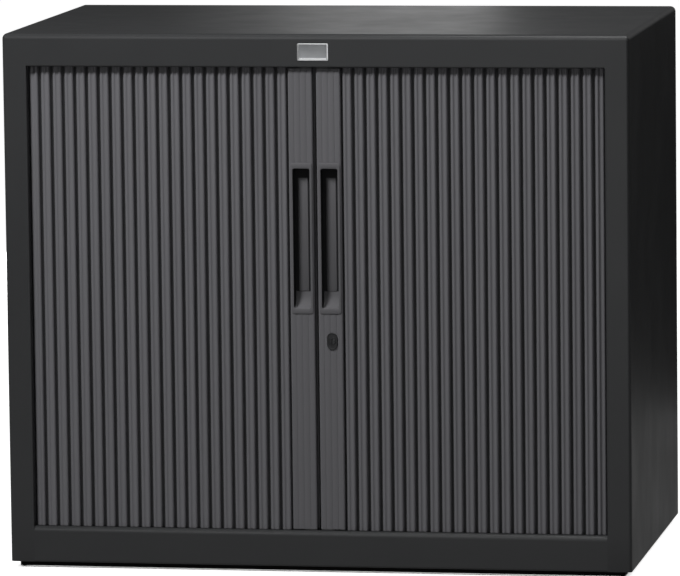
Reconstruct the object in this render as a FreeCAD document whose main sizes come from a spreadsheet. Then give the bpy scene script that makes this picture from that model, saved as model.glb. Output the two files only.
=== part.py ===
import FreeCAD, Part
import os
import re

# Roll front tool cabinet: a folded steel carcass with two slatted curtain doors that slide apart.
# Millimetres. X runs to the right, Y to the back, Z up. The origin is on the floor under the middle.

Vector = FreeCAD.Vector
doc = FreeCAD.newDocument("roll_front_cabinet")

# Driving sizes
sizes = {
    # Whole cabinet
    "cab_width": "800",
    "cab_depth": "470",
    "cab_height": "685",
    "base_gap": "8",
    "sheet_gauge": "1.2",
    "seat_gap": "0.3",
    "edge_round": "1",
    # Front frame round the opening
    "stile_width": "31",
    "top_rail_height": "42",
    "bottom_rail_height": "46",
    "front_recess": "8",
    "lip_depth": "20",
    "flange_depth": "20",
    "rear_flange": "14",
    # Slats and the channels that they run in
    "slat_thick": "6",
    "slat_play": "1.2",
    "slat_crown": "10.8",
    "slat_gap": "1.4",
    "track_wall": "1.2",
    "track_depth": "8",
    "track_floor": "1.6",
    "track_radius": "40",
    "track_end_gap": "12",
    # Lead rails, the stiff inner edges of the two curtains
    "closing_gap": "4.4",
    "lead_width": "31.5",
    "lead_thick": "15",
    "lead_proud": "2",
    "lead_end_gap": "1.5",
    "lead_round": "2",
    "closing_lip": "6",
    "meeting_gap": "1",
    "glide_width": "15",
    "glide_inset": "1",
    "glide_play": "0.4",
    "stop_short": "1",
    "lug_width": "9.7",
    "lug_reach": "26",
    "lug_height": "30",
    "lug_inset": "66",
    "buffer_width": "8",
    "buffer_depth": "12",
    "buffer_height": "24",
    # Handle cups
    "handle_drop": "121",
    "handle_height": "191.4",
    "handle_width": "27.6",
    "rim_thick": "0.8",
    "recess_width": "21.7",
    "recess_height": "177.3",
    "recess_depth": "12.4",
    "cup_wall": "1",
    "ramp_radius": "10",
    # Lock
    "lock_offset": "19.6",
    "lock_drop": "34.6",
    "shield_width": "13.4",
    "shield_height": "21.8",
    "shield_thick": "1.3",
    "barrel_radius": "6",
    "plug_radius": "4.4",
    "plug_play": "0.1",
    "plug_proud": "0.3",
    "keyway_width": "1.4",
    "keyway_height": "6",
    "keyway_depth": "5",
    "lock_nut_radius": "9",
    "lock_nut_thick": "1.8",
    "cam_thick": "2",
    "cam_lead": "4",
    "cam_trail": "2",
    "cam_reach": "35",
    "cam_heel": "7",
    "barb_width": "3.5",
    "barb_rise": "7",
    "cam_screw_radius": "3.5",
    "cam_screw_head": "1.5",
    "keeper_thick": "1.6",
    "keeper_width": "20",
    "keeper_height": "24",
    "keeper_drop": "6",
    "keeper_pin_radius": "2.5",
    "keeper_pin_reach": "26",
    "keeper_pin_rise": "6",
    "keeper_pin_length": "3.9",
    "keeper_screw_radius": "2",
    "keeper_screw_head": "1",
    # Inner walls and shelves
    "liner_setback": "1",
    "liner_flange": "14.8",
    "slot_width": "3",
    "slot_height": "12",
    "slot_first": "40",
    "slot_pitch": "32",
    "slot_inset": "60",
    "shelf_front_gap": "1",
    "shelf_side_gap": "3",
    "shelf_rear_gap": "2",
    "shelf_flange": "18",
    "clip_reach": "7",
    "clip_width": "16",
    "clip_height": "11",
    "clip_tongue": "0.6",
    # Screws
    "screw_head": "1.4",
    "screw_head_radius": "3.5",
    "screw_radius": "1.6",
    "screw_length": "6",
    "screw_play": "0.2",
    "screw_inset": "7",
    # Base strips and levelling feet
    "plinth_inset": "10",
    "plinth_wall": "6",
    "plinth_clear": "1.5",
    "foot_inset": "44",
    "pad_radius": "17",
    "pad_neck_radius": "9",
    "pad_disc": "5",
    "stud_radius": "4",
    "stud_head_gap": "3.8",
    "stud_seat": "3",
    "stud_slot": "1.2",
    "stud_slot_depth": "2",
    "bracket_thick": "2.5",
    "bracket_size": "62",
    "nut_radius": "7.5",
    "nut_height": "6.5",
    "cap_radius": "10",
    "cap_plug_radius": "7",
    "cap_thick": "1.2",
    # Badge
    "badge_proud": "1.2",
    "badge_width": "40",
    "badge_height": "22",
    "badge_top_gap": "11.5",
    "badge_border": "5",
    "badge_head": "2.5",
    "badge_lip": "6.5",
    "badge_field_depth": "0.5",
    "badge_round": "2",
}

slats_in_view = 22
slats_round_corner = 5
slot_rows = 17
shelf_rows = {"shelf_lower": 5, "shelf_upper": 11}
back_screw_shares = (0.06, 0.28, 0.5, 0.72, 0.94)
liner_screw_shares = (0.15, 0.5, 0.85)

# Places worked out from the sizes
places = {
    "half_width": "cab_width / 2",
    "wall_inner": "half_width - sheet_gauge",
    "jamb": "half_width - stile_width",
    "front_face": "badge_proud - cab_depth / 2",
    "front_inner": "front_face + sheet_gauge",
    "rear_face": "cab_depth / 2",
    "back_outer": "rear_face - screw_head",
    "back_inner": "back_outer - sheet_gauge",
    "wall_top": "cab_height - sheet_gauge",
    "opening_bottom": "base_gap + bottom_rail_height",
    "opening_top": "cab_height - top_rail_height",
    "floor_top": "opening_bottom - track_depth",
    "ceiling_under": "opening_top + track_depth",
    "slat_front": "front_face + front_recess",
    "track_line": "slat_front + slat_thick / 2",
    "channel_half": "slat_thick / 2 + slat_play",
    "track_half": "channel_half + track_wall",
    "track_side": "wall_inner - track_half",
    "arc_across": "track_side - track_radius",
    "arc_deep": "track_line + track_radius",
    "track_rear": "back_inner - track_end_gap",
    "slat_bottom": "floor_top + track_floor + seat_gap",
    "slat_top": "ceiling_under - track_floor - seat_gap",
    "lead_inner": "closing_gap / 2",
    "lead_outer": "lead_inner + lead_width",
    "lead_middle": "lead_inner + lead_width / 2",
    "lead_front": "slat_front - lead_proud",
    "lead_back": "lead_front + lead_thick",
    "lead_bottom": "opening_bottom + lead_end_gap",
    "lead_top": "opening_top - lead_end_gap",
    "slat_pitch": f"(jamb - lead_outer) / {slats_in_view}",
    "slat_width": "slat_pitch - slat_gap",
    "door_travel": "jamb - stop_short - lead_outer",
    "liner_outer": "track_side - track_half",
    "liner_inner": "liner_outer - sheet_gauge",
    "liner_front": "arc_deep + liner_setback",
    "lug_back": "lead_back + lug_reach",
    "recess_front": "lead_front - rim_thick",
    "recess_floor": "recess_front + recess_depth",
    "handle_top": "opening_top - handle_drop",
    "recess_middle": "handle_top - handle_height / 2",
    "recess_bottom": "recess_middle - recess_height / 2",
    "recess_top": "recess_middle + recess_height / 2",
    "shield_front": "lead_front - shield_thick",
    "plug_front": "shield_front - plug_proud",
    "barrel_end": "lead_back + lock_nut_thick",
    "cam_front": "barrel_end + seat_gap",
    "cam_back": "cam_front + cam_thick",
    "keeper_back": "lead_back + keeper_thick",
    "keeper_pin": "keeper_pin_reach - lock_offset",
    "lock_level": "handle_top - handle_height - lock_drop",
    "keeper_bottom": "lock_level - keeper_drop",
    "slot_front_line": "liner_front + slot_inset",
    "slot_rear_line": "back_inner - slot_inset",
    "shelf_front": "liner_front + sheet_gauge + shelf_front_gap",
    "shelf_rear": "back_inner - shelf_rear_gap",
    "shelf_half": "liner_inner - shelf_side_gap",
    "foot_across": "half_width - foot_inset",
    "foot_front": "front_face + foot_inset",
    "foot_rear": "rear_face - foot_inset",
    "stud_top": "floor_top - sheet_gauge - stud_head_gap",
    "bracket_under": "base_gap + sheet_gauge",
    "bracket_top": "bracket_under + bracket_thick",
    "badge_top": "cab_height - badge_top_gap",
}

# Two edges count as one spot when they lie closer than this.
edge_match = 0.01

nodes = []


def bound(text):
    """The text with the sheet that holds each name put in front of it."""
    def with_sheet(found):
        word = found.group(0)
        if word in sizes:
            return f"Sizes.{word}"
        if word in places:
            return f"Places.{word}"
        return word
    return re.sub(r"[a-z][a-z0-9_]*", with_sheet, text)


def write_sheet(name, cells, lead=""):
    """A sheet with one named cell in each row."""
    sheet = doc.addObject("Spreadsheet::Sheet", name)
    for row, (alias, content) in enumerate(cells.items(), start=1):
        sheet.set(f"A{row}", alias)
        sheet.setAlias(f"B{row}", alias)
        sheet.set(f"B{row}", lead + content)
    return sheet


def new_body(name):
    """An empty body that becomes a node of the part."""
    body = doc.addObject("PartDesign::Body", name)
    body.Label = name
    body.AllowCompound = True
    nodes.append(body)
    return body


def block(body, name, x, y, z, cut=False):
    """A box between the low and high place of each of its three spans."""
    kind = "PartDesign::SubtractiveBox" if cut else "PartDesign::AdditiveBox"
    item = body.newObject(kind, name)
    for side, axis, (low, high) in zip(("Length", "Width", "Height"), "xyz", (x, y, z)):
        item.setExpression(side, bound(f"({high}) - ({low})"))
        item.setExpression(f".Placement.Base.{axis}", bound(low))
    return item


def drum(body, name, radius, x, y, z, cut=False):
    """A cylinder whose axis runs along the one place that is given as a span."""
    kind = "PartDesign::SubtractiveCylinder" if cut else "PartDesign::AdditiveCylinder"
    turns = {
        "x": FreeCAD.Rotation(Vector(0, 1, 0), 90),
        "y": FreeCAD.Rotation(Vector(1, 0, 0), -90),
        "z": FreeCAD.Rotation(),
    }
    item = body.newObject(kind, name)
    item.setExpression("Radius", bound(radius))
    for axis, place in zip("xyz", (x, y, z)):
        if isinstance(place, tuple):
            low, high = place
            item.Placement = FreeCAD.Placement(Vector(), turns[axis])
            item.setExpression("Height", bound(f"({high}) - ({low})"))
            place = low
        item.setExpression(f".Placement.Base.{axis}", bound(place))
    return item


def across(hand, near, far):
    """A span across the cabinet, given outward from its middle."""
    if hand == "left":
        return f"-({far})", f"-({near})"
    return near, far


def outward(hand, place):
    """A place across the cabinet, given outward from its middle."""
    return f"-({place})" if hand == "left" else place


def round_edges(body, name, radius, axis, spots):
    """Rounds the straight edges along the axis that pass through the spots."""
    doc.recompute()
    wanted = [{key: number(text) for key, text in spot.items()} for spot in spots]
    found = []
    for index, edge in enumerate(body.Shape.Edges, start=1):
        ends = [vertex.Point for vertex in edge.Vertexes]
        if len(ends) < 2 or edge.Curve.TypeId != "Part::GeomLine":
            continue
        run = (ends[1] - ends[0]).normalize()
        if abs(getattr(run, axis)) < 1 - edge_match:
            continue
        for spot in wanted:
            if all(abs(getattr(ends[0], key) - place) < edge_match for key, place in spot.items()):
                found.append(f"Edge{index}")
    fillet = body.newObject("PartDesign::Fillet", name)
    fillet.Base = (body.Tip if body.Tip is not fillet else fillet.BaseFeature, found)
    fillet.setExpression("Radius", bound(radius))
    return fillet


def number(text):
    """The value of an expression."""
    return float(sizes_sheet.evalExpression(bound(text)))


sizes_sheet = write_sheet("Sizes", sizes)
doc.recompute()
places_sheet = write_sheet("Places", {alias: bound(formula) for alias, formula in places.items()}, "=")
doc.recompute()

hands = ("left", "right")
full_width = ("-(wall_inner)", "wall_inner")


# Carcass
def make_top_panel():
    """The lid, whose front is folded down as the top rail."""
    body = new_body("top_panel")
    footprint = ("-(half_width)", "half_width")
    block(body, "top_sheet", footprint, ("front_face", "rear_face"), ("wall_top", "cab_height"))
    opening_width = ("-(jamb)", "jamb")
    block(body, "top_rail", opening_width, ("front_face", "front_inner"), ("opening_top", "cab_height"))
    rail_lip = ("opening_top", "opening_top + sheet_gauge")
    block(body, "top_rail_lip", opening_width, ("front_face", "track_line - track_half"), rail_lip)
    flange = ("cab_height - flange_depth", "cab_height")
    block(body, "top_rear_flange", full_width, ("rear_face - sheet_gauge", "rear_face"), flange)
    for hand in hands:
        side = across(hand, "wall_inner - sheet_gauge", "wall_inner")
        block(body, f"top_flange_{hand}", side, ("front_inner", "rear_face"), flange)
    long_edges = [{"y": line, "z": "cab_height"} for line in ("front_face", "rear_face")]
    round_edges(body, "top_long_edges", "edge_round", "x", long_edges)
    short_edges = [{"x": outward(hand, "half_width"), "z": "cab_height"} for hand in hands]
    round_edges(body, "top_short_edges", "edge_round", "y", short_edges)


def make_side_panel(hand):
    body = new_body(f"side_panel_{hand}")
    height = ("base_gap", "wall_top")
    wall = across(hand, "wall_inner", "half_width")
    block(body, "wall", wall, ("front_face", "rear_face"), height)
    stile = across(hand, "jamb", "half_width")
    block(body, "stile", stile, ("front_face", "front_inner"), height)
    jamb_lip = across(hand, "jamb", "jamb + sheet_gauge")
    block(body, "jamb_lip", jamb_lip, ("front_face", "lead_front"), ("opening_bottom", "opening_top"))
    foot_lip = across(hand, "half_width - lip_depth", "half_width")
    block(body, "bottom_lip", foot_lip, ("front_face", "back_inner"), ("base_gap", "bracket_under"))
    rear = across(hand, "wall_inner - rear_flange", "half_width")
    below_top = ("base_gap", "cab_height - flange_depth")
    block(body, "rear_flange", rear, ("back_inner - sheet_gauge", "back_inner"), below_top)
    for row, share in enumerate(back_screw_shares):
        spot = outward(hand, "wall_inner - screw_inset")
        level = f"floor_top + (ceiling_under - floor_top) * {share}"
        hole = ("back_inner - sheet_gauge", "back_inner")
        drum(body, f"screw_hole_{row}", "screw_radius + screw_play", spot, hole, level, cut=True)
    corner = {"x": outward(hand, "half_width"), "y": "front_face"}
    round_edges(body, "front_corner", "edge_round", "z", [corner])


def make_bottom_rail():
    body = new_body("bottom_rail")
    width = ("-(jamb)", "jamb")
    block(body, "rail_face", width, ("front_face", "front_inner"), ("base_gap", "opening_bottom"))
    top_lip = ("opening_bottom - sheet_gauge", "opening_bottom")
    block(body, "rail_top_lip", width, ("front_face", "track_line - track_half"), top_lip)
    block(body, "rail_bottom_lip", width, ("front_face", "front_face + lip_depth"), ("base_gap", "bracket_under"))
    round_edges(body, "rail_top_edge", "edge_round", "x", [{"y": "front_face", "z": "opening_bottom"}])


def make_base_panel():
    body = new_body("base_panel")
    deep = ("front_inner", "back_inner - sheet_gauge")
    block(body, "floor_sheet", full_width, deep, ("floor_top - sheet_gauge", "floor_top"))
    flange = ("floor_top - flange_depth", "floor_top")
    block(body, "floor_front_flange", full_width, ("front_inner", "front_inner + sheet_gauge"), flange)
    rear = ("back_inner - sheet_gauge - sheet_gauge", "back_inner - sheet_gauge")
    block(body, "floor_rear_flange", full_width, rear, flange)
    for hand in hands:
        side = across(hand, "wall_inner - sheet_gauge", "wall_inner")
        block(body, f"floor_flange_{hand}", side, deep, flange)
    through = ("floor_top - flange_depth", "floor_top")
    for hand, line in feet:
        spot = outward(hand, "foot_across")
        name = f"access_hole_{line}_{hand}"
        drum(body, name, "cap_plug_radius + screw_play", spot, f"foot_{line}", through, cut=True)
    cut_liner_holes(body, ("floor_top - sheet_gauge", "floor_top"))


def make_ceiling_panel():
    body = new_body("ceiling_panel")
    deep = ("front_inner", "back_inner - sheet_gauge")
    block(body, "ceiling_sheet", full_width, deep, ("ceiling_under", "ceiling_under + sheet_gauge"))
    flange = ("ceiling_under", "ceiling_under + flange_depth / 2")
    block(body, "ceiling_flange", full_width, ("front_inner", "front_inner + sheet_gauge"), flange)
    cut_liner_holes(body, ("ceiling_under", "ceiling_under + sheet_gauge"))


def liner_screw_spots():
    """The side and the depth of each screw through a liner's flanges."""
    for hand in hands:
        for row, share in enumerate(liner_screw_shares):
            depth = f"liner_front + (back_inner - liner_front) * {share}"
            yield f"{hand}_{row}", outward(hand, "liner_inner - screw_inset"), depth


def cut_liner_holes(body, span, only=""):
    for name, spot, depth in liner_screw_spots():
        if name.startswith(only):
            drum(body, f"hole_{name}_{body.Name}", "screw_radius + screw_play", spot, depth, span, cut=True)


def make_back_panel():
    body = new_body("back_panel")
    width = ("seat_gap - wall_inner", "wall_inner - seat_gap")
    height = ("base_gap + seat_gap", "cab_height - flange_depth - seat_gap")
    block(body, "back_sheet", width, ("back_inner", "back_outer"), height)
    for hand in hands:
        for row, share in enumerate(back_screw_shares):
            spot = outward(hand, "wall_inner - screw_inset")
            level = f"floor_top + (ceiling_under - floor_top) * {share}"
            name = f"back_hole_{hand}_{row}"
            drum(body, name, "screw_radius + screw_play", spot, ("back_inner", "back_outer"), level, cut=True)


def make_liner(hand):
    body = new_body(f"liner_{hand}")
    height = ("floor_top", "ceiling_under")
    deep = ("liner_front", "back_inner - sheet_gauge")
    block(body, "liner_sheet", across(hand, "liner_inner", "liner_outer"), deep, height)
    inward = across(hand, "liner_inner - liner_flange", "liner_outer")
    block(body, "liner_front_flange", inward, ("liner_front", "liner_front + sheet_gauge"), height)
    block(body, "liner_foot", inward, deep, ("floor_top", "floor_top + sheet_gauge"))
    block(body, "liner_head", inward, deep, ("ceiling_under - sheet_gauge", "ceiling_under"))
    cut_liner_holes(body, ("floor_top", "floor_top + sheet_gauge"), only=hand)
    for name, spot, depth in liner_screw_spots():
        if name.startswith(hand):
            head_hole = ("ceiling_under - sheet_gauge", "ceiling_under")
            drum(body, f"head_hole_{name}", "screw_radius + screw_play", spot, depth, head_hole, cut=True)
    wall = across(hand, "liner_inner - seat_gap", "liner_outer + seat_gap")
    for line in ("front", "rear"):
        low = f"slot_{line}_line - slot_width / 2"
        high = f"slot_{line}_line + slot_width / 2"
        for row in range(slot_rows):
            level = f"floor_top + slot_first + slot_pitch * {row}"
            slot = (f"{level} - slot_height", level)
            block(body, f"slot_{line}_{row}", wall, (low, high), slot, cut=True)


def make_track(end, hand):
    """One channel: a straight front run, a quarter turn and a straight side run."""
    body = new_body(f"track_{end}_{hand}")
    if end == "bottom":
        full = ("floor_top", "opening_bottom")
        floor = ("floor_top", "floor_top + track_floor")
        groove = ("floor_top + track_floor", "opening_bottom")
    else:
        full = ("opening_top", "ceiling_under")
        floor = ("ceiling_under - track_floor", "ceiling_under")
        groove = ("opening_top", "ceiling_under - track_floor")
    quarter = 180 if hand == "left" else 270
    rings = (
        ("outer_turn", "track_radius + track_half", full, False),
        ("turn_groove", "track_radius + channel_half", groove, True),
        ("inner_turn", "track_radius - channel_half", full, False),
        ("turn_hollow", "track_radius - track_half", full, True),
    )
    for name, radius, span, cut in rings:
        ring = drum(body, name, radius, outward(hand, "arc_across"), "arc_deep", span, cut)
        ring.Placement = FreeCAD.Placement(Vector(), FreeCAD.Rotation(Vector(0, 0, 1), quarter))
        ring.Angle = 90
    front_run = across(hand, "meeting_gap / 2", "arc_across")
    side_run = ("arc_deep", "track_rear")
    walls = (
        ("floor", "-(track_half)", "track_half", floor),
        ("inner_wall", "channel_half", "track_half", full),
        ("outer_wall", "-(track_half)", "-(channel_half)", full),
    )
    for name, low, high, span in walls:
        block(body, f"front_{name}", front_run, (f"track_line + {low}", f"track_line + {high}"), span)
        side = across(hand, f"track_side - ({high})", f"track_side - ({low})")
        block(body, f"side_{name}", side, side_run, span)


def make_shelf(name, row):
    body = new_body(name)
    under = f"floor_top + slot_first + slot_pitch * {row}"
    width = ("-(shelf_half)", "shelf_half")
    block(body, "shelf_sheet", width, ("shelf_front", "shelf_rear"), (under, f"{under} + sheet_gauge"))
    flange = (f"{under} - shelf_flange", under)
    block(body, "shelf_front_flange", width, ("shelf_front", "shelf_front + sheet_gauge"), flange)
    block(body, "shelf_rear_flange", width, ("shelf_rear - sheet_gauge", "shelf_rear"), flange)
    round_edges(body, "shelf_edge", "edge_round", "x", [{"y": "shelf_front", "z": f"{under} + sheet_gauge"}])


def make_shelf_clips():
    body = new_body("shelf_clips")
    for name, row in shelf_rows.items():
        level = f"floor_top + slot_first + slot_pitch * {row}"
        for hand in hands:
            for line in ("front", "rear"):
                middle = f"slot_{line}_line"
                stem = f"{name}_{line}_{hand}"
                wide = (f"{middle} - clip_width / 2", f"{middle} + clip_width / 2")
                step = across(hand, "liner_inner - clip_reach", "liner_inner")
                block(body, f"clip_{stem}", step, wide, (f"{level} - clip_height", level))
                slim = "slot_width / 2 - seat_gap"
                narrow = (f"{middle} - ({slim})", f"{middle} + ({slim})")
                tongue = across(hand, "liner_inner", "liner_outer + clip_tongue")
                tall = (f"{level} - clip_height", f"{level} - seat_gap")
                block(body, f"tongue_{stem}", tongue, narrow, tall)


def make_plinth():
    height = ("plinth_clear", "base_gap")
    wide = ("plinth_inset - half_width", "half_width - plinth_inset")
    front = ("front_face + plinth_inset", "front_face + plinth_inset + plinth_wall")
    rear = ("rear_face - plinth_inset - plinth_wall", "rear_face - plinth_inset")
    block(new_body("plinth_front"), "front_strip", wide, front, height)
    block(new_body("plinth_rear"), "rear_strip", wide, rear, height)
    between = ("front_face + plinth_inset + plinth_wall", "rear_face - plinth_inset - plinth_wall")
    for hand in hands:
        side = across(hand, "half_width - plinth_inset - plinth_wall", "half_width - plinth_inset")
        block(new_body(f"plinth_{hand}"), "side_strip", side, between, height)


feet = [(hand, line) for hand in hands for line in ("front", "rear")]


def make_feet():
    brackets = new_body("foot_brackets")
    caps = new_body("access_caps")
    prisms = []
    bores = []
    for hand, line in feet:
        spot = outward(hand, "foot_across")
        deep = f"foot_{line}"
        stem = f"{line}_{hand}"
        plate = across(hand, "wall_inner - bracket_size", "wall_inner")
        if line == "front":
            plate_deep = ("front_inner", "front_inner + bracket_size")
        else:
            plate_deep = ("back_inner - sheet_gauge - bracket_size", "back_inner - sheet_gauge")
        block(brackets, f"bracket_{stem}", plate, plate_deep, ("bracket_under", "bracket_top"))
        hole = ("bracket_under", "bracket_top")
        drum(brackets, f"bracket_hole_{stem}", "stud_radius + seat_gap", spot, deep, hole, cut=True)
        drum(caps, f"cap_{stem}", "cap_radius", spot, deep, ("floor_top", "floor_top + cap_thick"))
        drum(caps, f"cap_plug_{stem}", "cap_plug_radius", spot, deep, ("floor_top - sheet_gauge", "floor_top"))
        prism = doc.addObject("Part::Prism", f"hexagon_{stem}")
        prism.Polygon = 6
        prism.setExpression("Circumradius", bound("nut_radius"))
        prism.setExpression("Height", bound("nut_height"))
        bore = doc.addObject("Part::Cylinder", f"nut_bore_{stem}")
        bore.setExpression("Radius", bound("stud_radius + screw_play"))
        bore.setExpression("Height", bound("nut_height"))
        for item in (prism, bore):
            item.setExpression(".Placement.Base.x", bound(spot))
            item.setExpression(".Placement.Base.y", bound(deep))
            item.setExpression(".Placement.Base.z", bound("bracket_top"))
        prisms.append(prism)
        bores.append(bore)
        make_foot(stem, spot, deep)
    nuts = []
    for prism, bore in zip(prisms, bores):
        nut = doc.addObject("Part::Cut", f"nut_{len(nuts)}")
        nut.Base = prism
        nut.Tool = bore
        nuts.append(nut)
    group = doc.addObject("Part::Compound", "foot_nuts")
    group.Label = "foot_nuts"
    group.Links = nuts
    nodes.append(group)


def make_foot(stem, spot, deep):
    pad = new_body(f"foot_pad_{stem}")
    drum(pad, "pad_disc_body", "pad_radius", spot, deep, ("0", "pad_disc"))
    drum(pad, "pad_neck", "pad_neck_radius", spot, deep, ("pad_disc", "bracket_under - seat_gap"))
    drum(pad, "pad_socket", "stud_radius", spot, deep, ("stud_seat", "bracket_under"), cut=True)
    stud = new_body(f"foot_stud_{stem}")
    drum(stud, "stud_rod", "stud_radius", spot, deep, ("stud_seat", "stud_top"))
    across_slot = (f"{spot} - stud_radius", f"{spot} + stud_radius")
    slot = (f"{deep} - stud_slot / 2", f"{deep} + stud_slot / 2")
    block(stud, "driver_slot", across_slot, slot, ("stud_top - stud_slot_depth", "stud_top"), cut=True)


def make_badge():
    body = new_body("badge_plate")
    wide = ("-(badge_width) / 2", "badge_width / 2")
    tall = ("badge_top - badge_height", "badge_top")
    block(body, "plate", wide, ("front_face - badge_proud", "front_face"), tall)
    field_wide = ("badge_border - badge_width / 2", "badge_width / 2 - badge_border")
    field_tall = ("badge_top - badge_height + badge_lip", "badge_top - badge_head")
    field = ("front_face - badge_proud", "front_face - badge_proud + badge_field_depth")
    block(body, "bare_field", field_wide, field, field_tall, cut=True)
    corners = [
        {"x": x, "z": z}
        for x in ("-(badge_width) / 2", "badge_width / 2")
        for z in ("badge_top", "badge_top - badge_height")
    ]
    round_edges(body, "plate_corners", "badge_round", "y", corners)


def make_screws():
    back = new_body("back_screws")
    for hand in hands:
        for row, share in enumerate(back_screw_shares):
            spot = outward(hand, "wall_inner - screw_inset")
            level = f"floor_top + (ceiling_under - floor_top) * {share}"
            head = ("back_outer", "back_outer + screw_head")
            drum(back, f"back_head_{hand}_{row}", "screw_head_radius", spot, head, level)
            shank = ("back_outer - screw_length", "back_outer")
            drum(back, f"back_shank_{hand}_{row}", "screw_radius", spot, shank, level)
    inner = new_body("liner_screws")
    ends = {
        "foot": ("floor_top + sheet_gauge", "floor_top + sheet_gauge + screw_head",
                 "floor_top + sheet_gauge - screw_length", "floor_top + sheet_gauge"),
        "head": ("ceiling_under - sheet_gauge - screw_head", "ceiling_under - sheet_gauge",
                 "ceiling_under - sheet_gauge", "ceiling_under - sheet_gauge + screw_length"),
    }
    for name, spot, depth in liner_screw_spots():
        for end, (head_low, head_high, shank_low, shank_high) in ends.items():
            drum(inner, f"{end}_cap_{name}", "screw_head_radius", spot, depth, (head_low, head_high))
            drum(inner, f"{end}_shank_{name}", "screw_radius", spot, depth, (shank_low, shank_high))


def lug_levels():
    """The low and high edge of each stop lug on a lead rail."""
    yield "low", "lead_bottom + lug_inset", "lead_bottom + lug_inset + lug_height"
    yield "high", "lead_top - lug_inset - lug_height", "lead_top - lug_inset"


def make_stop_buffers():
    body = new_body("stop_buffers")
    reach = "lead_outer + door_travel + seat_gap"
    for hand in hands:
        wide = across(hand, reach, f"{reach} + buffer_width")
        for end, low, high in lug_levels():
            middle = f"({low} + {high}) / 2"
            tall = (f"{middle} - buffer_height / 2", f"{middle} + buffer_height / 2")
            deep = ("liner_front - buffer_depth", "liner_front")
            block(body, f"buffer_{end}_{hand}", wide, deep, tall)


# Curtain doors
def make_lead_rail(hand):
    body = new_body(f"lead_rail_{hand}")
    tall = ("lead_bottom", "lead_top")
    bar = across(hand, "lead_inner", "lead_outer")
    block(body, "bar", bar, ("lead_front", "lead_back"), tall)
    corners = [
        {"x": outward(hand, "lead_inner"), "y": "lead_front"},
        {"x": outward(hand, "lead_outer"), "y": "lead_front"},
    ]
    round_edges(body, "bar_front_edges", "lead_round", "z", corners)
    lip = across(hand, "meeting_gap / 2", "lead_inner")
    block(body, "closing_lip_bar", lip, ("lead_back - closing_lip", "lead_back"), tall)
    for end, low, high in lug_levels():
        lug = across(hand, "lead_outer - lug_width", "lead_outer")
        block(body, f"lug_{end}", lug, ("lead_back", "lug_back"), (low, high))
    half_cup = "recess_width / 2 + cup_wall + seat_gap"
    window = across(hand, f"lead_middle - ({half_cup})", f"lead_middle + ({half_cup})")
    window_tall = ("recess_bottom - cup_wall - seat_gap", "recess_top + cup_wall + seat_gap")
    block(body, "handle_window", window, ("lead_front", "lead_back"), window_tall, cut=True)
    if hand == "right":
        bore = ("lead_front", "lead_back")
        drum(body, "lock_bore", "barrel_radius + seat_gap", "lock_offset", bore, "lock_level", cut=True)


def make_handle(hand):
    """A moulded cup with a rim, whose floor curves up to the front at its lower end."""
    body = new_body(f"handle_{hand}")
    rim = across(hand, "lead_middle - handle_width / 2", "lead_middle + handle_width / 2")
    rim_tall = ("handle_top - handle_height", "handle_top")
    block(body, "rim", rim, ("recess_front", "lead_front"), rim_tall)
    half_cup = "recess_width / 2 + cup_wall"
    cup = across(hand, f"lead_middle - ({half_cup})", f"lead_middle + ({half_cup})")
    cup_tall = ("recess_bottom - cup_wall", "recess_top + cup_wall")
    block(body, "cup", cup, ("lead_front", "recess_floor + cup_wall"), cup_tall)
    hollow = across(hand, "lead_middle - recess_width / 2", "lead_middle + recess_width / 2")
    deep = ("recess_front", "recess_floor")
    block(body, "recess", hollow, deep, ("recess_bottom", "recess_top"), cut=True)
    block(body, "ramp", hollow, ("recess_floor - ramp_radius", "recess_floor"),
          ("recess_bottom", "recess_bottom + ramp_radius"))
    ramp_level = "recess_bottom + ramp_radius"
    drum(body, "ramp_curve", "ramp_radius", hollow, "recess_floor - ramp_radius", ramp_level, cut=True)


def make_glides(hand):
    body = new_body(f"glides_{hand}")
    wide = across(hand, "lead_inner + glide_inset", "lead_inner + glide_inset + glide_width")
    half = "channel_half - glide_play"
    deep = (f"track_line - ({half})", f"track_line + ({half})")
    block(body, "bottom_glide", wide, deep, ("slat_bottom", "lead_bottom"))
    block(body, "top_glide", wide, deep, ("lead_top", "slat_top"))


def make_slats(hand):
    """The curtain: flat slats along the front run, the quarter turn and the side run."""
    group = []
    sign = -1 if hand == "left" else 1
    for index in range(slats_in_view + slats_round_corner):
        past = f"(lead_outer + slat_pitch * {index + 0.5} - arc_across)"
        turn = f"min(max({past}; 0) / track_radius * 180 / pi; 90)"
        slat = doc.addObject("Part::Wedge", f"slat_{hand}_{index}")
        slat.Placement = FreeCAD.Placement(Vector(), FreeCAD.Rotation(Vector(0, 0, 1), 1))
        spans = {
            "Xmin": "-(slat_crown) / 2",
            "Xmax": "slat_crown / 2",
            "X2min": "-(slat_width) / 2",
            "X2max": "slat_width / 2",
            "Ymin": "-(slat_thick) / 2",
            "Ymax": "slat_thick / 2",
            "Zmin": "slat_bottom",
            "Z2min": "slat_bottom",
            "Zmax": "slat_top",
            "Z2max": "slat_top",
        }
        for name, text in spans.items():
            slat.setExpression(name, bound(text))
        out = f"arc_across + min({past}; 0) + track_radius * sin({turn})"
        deep = f"arc_deep - track_radius * cos({turn}) + max({past} - track_radius * pi / 2; 0)"
        slat.setExpression(".Placement.Base.x", bound(f"{sign} * ({out})"))
        slat.setExpression(".Placement.Base.y", bound(deep))
        slat.setExpression(".Placement.Rotation.Angle", bound(f"{sign} * {turn}"))
        group.append(slat)
    curtain = doc.addObject("Part::Compound", f"slats_{hand}")
    curtain.Label = f"slats_{hand}"
    curtain.Links = group
    nodes.append(curtain)


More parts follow.
